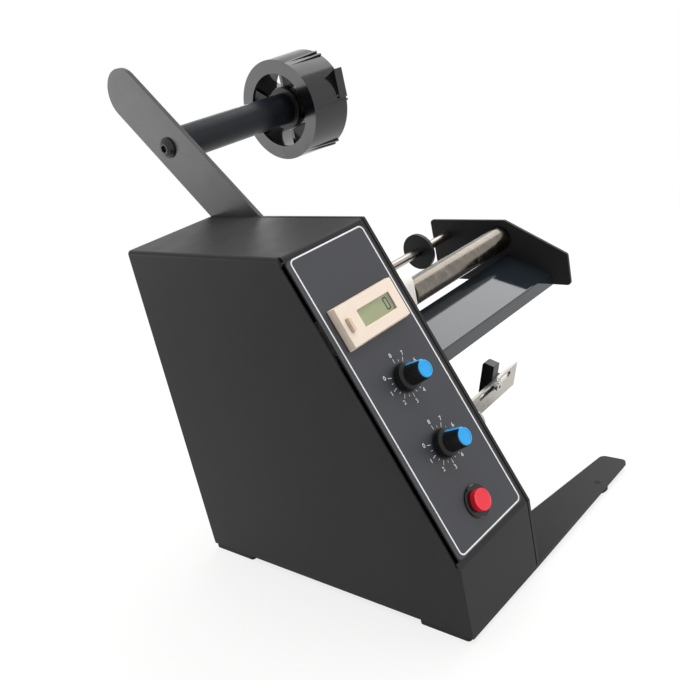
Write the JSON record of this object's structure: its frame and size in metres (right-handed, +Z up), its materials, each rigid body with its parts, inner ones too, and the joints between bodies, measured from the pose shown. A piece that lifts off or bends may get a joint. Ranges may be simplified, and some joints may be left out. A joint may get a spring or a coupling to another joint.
{
  "type": "label dispenser machine",
  "caption": "Desk label dispenser: upright control box with a peel head, rollers, supply hub on a leaning arm, gap sensor and an outrigger foot.",
  "frame": {"origin": "on the table under the middle of the machine's outline: centre of the bounding box in x and y, underside of the feet in z", "axes": "+X from the control box towards the peel head and hub (the machine's right), +Y from the front to the back, +Z up"},
  "size_m": [0.206, 0.2825, 0.3098],
  "materials": {
    "black_powder_coat": "fine satin powder coat",
    "panel_film": "satin printed film",
    "black_rubber": "matte rubber",
    "cream_plastic": "smooth moulded",
    "display_glass": "reflective display",
    "clear_window": "clear",
    "key_plastic": "smooth moulded",
    "zinc_steel": "zinc plated",
    "knob_plastic": "satin moulded",
    "blue_plastic": "gloss moulded",
    "red_plastic": "gloss moulded",
    "brushed_steel": "turned",
    "satin_black_metal": "satin black",
    "polished_steel": "polished",
    "hub_plastic": "gloss moulded",
    "gloss_enamel": "gloss",
    "white_nylon": "machined",
    "brass": "cut",
    "board_laminate": "laminate",
    "component_plastic": "moulded",
    "disc_plastic": "satin moulded",
    "stainless_strip": "fine brushed",
    "sensor_plastic": "satin moulded"
  },
  "bodies": {
    "body": {"cover": "black_powder_coat", "side_plate": "black_powder_coat", "base_plate": "black_powder_coat", "back_panel": "black_powder_coat", "supply_arm": "black_powder_coat", "end_plate": "black_powder_coat", "panel_overlay": "panel_film", "foot_pads": "black_rubber", "outrigger_foot": "black_rubber", "counter_housing": "cream_plastic", "counter_display": "display_glass", "counter_window": "clear_window", "counter_bracket": "zinc_steel", "knob_controls": "zinc_steel", "knob_nuts": "zinc_steel", "switch_body": "knob_plastic", "switch_nut": "knob_plastic", "arm_bolts": "zinc_steel", "spindle": "satin_black_metal", "spindle_bolt": "polished_steel", "peel_plate": "gloss_enamel", "guide_rod": "polished_steel", "head_screws": "zinc_steel", "roller_block": "white_nylon", "drive_bush": "white_nylon", "end_bearings": "white_nylon", "motor_plate": "zinc_steel", "standoffs": "zinc_steel", "inner_screws": "zinc_steel", "gear_motor": "zinc_steel", "controller_board": "board_laminate", "board_components": "component_plastic", "power_inlet": "knob_plastic", "lead_grommet": "black_rubber", "pivot_screw": "polished_steel", "base_screws": "zinc_steel"},
    "length_knob": {"length_knob": "knob_plastic", "length_knob_cap": "blue_plastic", "length_shaft": "brushed_steel"},
    "speed_knob": {"speed_knob": "knob_plastic", "speed_knob_cap": "blue_plastic", "speed_shaft": "brushed_steel"},
    "power_button": {"button_cap": "red_plastic"},
    "reset_key": {"reset_key": "key_plastic"},
    "steel_roller": {"steel_roller": "polished_steel", "steel_gear": "brushed_steel"},
    "drive_roller": {"drive_roller": "brushed_steel", "rubber_sleeve": "black_rubber", "nip_gear": "brushed_steel", "drive_gear": "white_nylon"},
    "motor_shaft": {"motor_shaft": "brushed_steel", "motor_pinion": "brass"},
    "hub_bush": {"hub_bush": "satin_black_metal", "hub_clip": "zinc_steel"},
    "supply_hub": {"supply_hub": "hub_plastic"},
    "guide_disc": {"guide_disc": "disc_plastic", "guide_set_screw": "zinc_steel"},
    "sensor_bracket": {"sensor_bracket": "stainless_strip"},
    "sensor": {"sensor_body": "sensor_plastic", "sensor_screw": "polished_steel"}
  },
  "joints": [
    {"name": "length_turn", "type": "hinge", "parent": "body", "child": "length_knob", "pos_m": [-0.0697, -0.10663, 0.13779], "axis": [0, -0.8999, 0.4361], "range_deg": [-150, 150]},
    {"name": "speed_turn", "type": "hinge", "parent": "body", "child": "speed_knob", "pos_m": [-0.0697, -0.1242, 0.10152], "axis": [0, -0.8999, 0.4361], "range_deg": [-150, 150]},
    {"name": "power_press", "type": "slide", "parent": "body", "child": "power_button", "axis": [0, 0.8999, -0.4361], "range_m": [0, 0.0025], "stiffness_N_per_m": 400, "springref_m": -0.001},
    {"name": "reset_press", "type": "slide", "parent": "body", "child": "reset_key", "axis": [0, 0.8999, -0.4361], "range_m": [0, 0.0013], "stiffness_N_per_m": 400, "springref_m": -0.001},
    {"name": "steel_turn", "type": "hinge", "parent": "body", "child": "steel_roller", "pos_m": [0.027, -0.06437, 0.1565], "axis": [1, 0, 0], "continuous": true},
    {"name": "drive_turn", "type": "hinge", "parent": "body", "child": "drive_roller", "pos_m": [0.027, -0.05019, 0.14909], "axis": [1, 0, 0], "continuous": true},
    {"name": "motor_turn", "type": "hinge", "parent": "body", "child": "motor_shaft", "pos_m": [-0.053, -0.03579, 0.13193], "axis": [1, 0, 0], "continuous": true},
    {"name": "hub_slide", "type": "slide", "parent": "body", "child": "hub_bush", "axis": [1, 0, 0], "range_m": [-0.09, 0]},
    {"name": "hub_turn", "type": "hinge", "parent": "hub_bush", "child": "supply_hub", "pos_m": [0.087, 0.0928, 0.2565], "axis": [1, 0, 0], "continuous": true},
    {"name": "disc_slide", "type": "slide", "parent": "body", "child": "guide_disc", "axis": [1, 0, 0], "range_m": [-0.066, 0.0275]},
    {"name": "sensor_swing", "type": "hinge", "parent": "body", "child": "sensor_bracket", "pos_m": [-0.033, -0.11299, 0.0925], "axis": [1, 0, 0], "range_deg": [-25, 30]},
    {"name": "sensor_slide", "type": "slide", "parent": "sensor_bracket", "child": "sensor", "axis": [0.9986, -0.0162, 0.0499], "range_m": [-0.015, 0.0135]}
  ],
  "couplings": [
    {"joint": "drive_turn", "follows": "steel_turn", "ratio": -1},
    {"joint": "motor_turn", "follows": "steel_turn", "ratio": 2.5}
  ]
}
